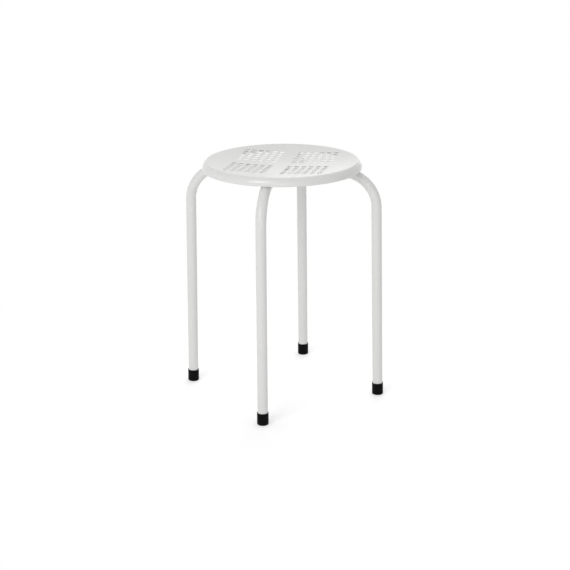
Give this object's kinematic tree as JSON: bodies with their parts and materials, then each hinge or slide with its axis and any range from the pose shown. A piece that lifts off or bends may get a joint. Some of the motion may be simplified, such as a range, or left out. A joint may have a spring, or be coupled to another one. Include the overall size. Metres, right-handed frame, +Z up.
{
  "type": "stacking stool",
  "caption": "Round stacking stool: dished perforated steel seat on bent tube legs with black plastic foot caps, screwed from below.",
  "frame": {"origin": "on the floor under the middle of the seat", "axes": "+Z up; the legs stand on the X and Y axes, the front leg towards -Y and the right leg towards +X"},
  "size_m": [0.3872, 0.3872, 0.45],
  "materials": {
    "enamel": "white powder coat, semi-gloss with a fine orange peel",
    "cap_plastic": "black moulded plastic, satin",
    "zinc": "bright zinc plate on steel"
  },
  "bodies": {
    "root": {"seat_pan": "enamel", "leg_front": "enamel", "foot_cap_front": "cap_plastic", "boss_front_inner": "enamel", "boss_front_outer": "enamel", "screw_front_inner": "zinc", "screw_front_outer": "zinc", "leg_right": "enamel", "foot_cap_right": "cap_plastic", "boss_right_inner": "enamel", "boss_right_outer": "enamel", "screw_right_inner": "zinc", "screw_right_outer": "zinc", "leg_back": "enamel", "foot_cap_back": "cap_plastic", "boss_back_inner": "enamel", "boss_back_outer": "enamel", "screw_back_inner": "zinc", "screw_back_outer": "zinc", "leg_left": "enamel", "foot_cap_left": "cap_plastic", "boss_left_inner": "enamel", "boss_left_outer": "enamel", "screw_left_inner": "zinc", "screw_left_outer": "zinc"}
  },
  "joints": []
}
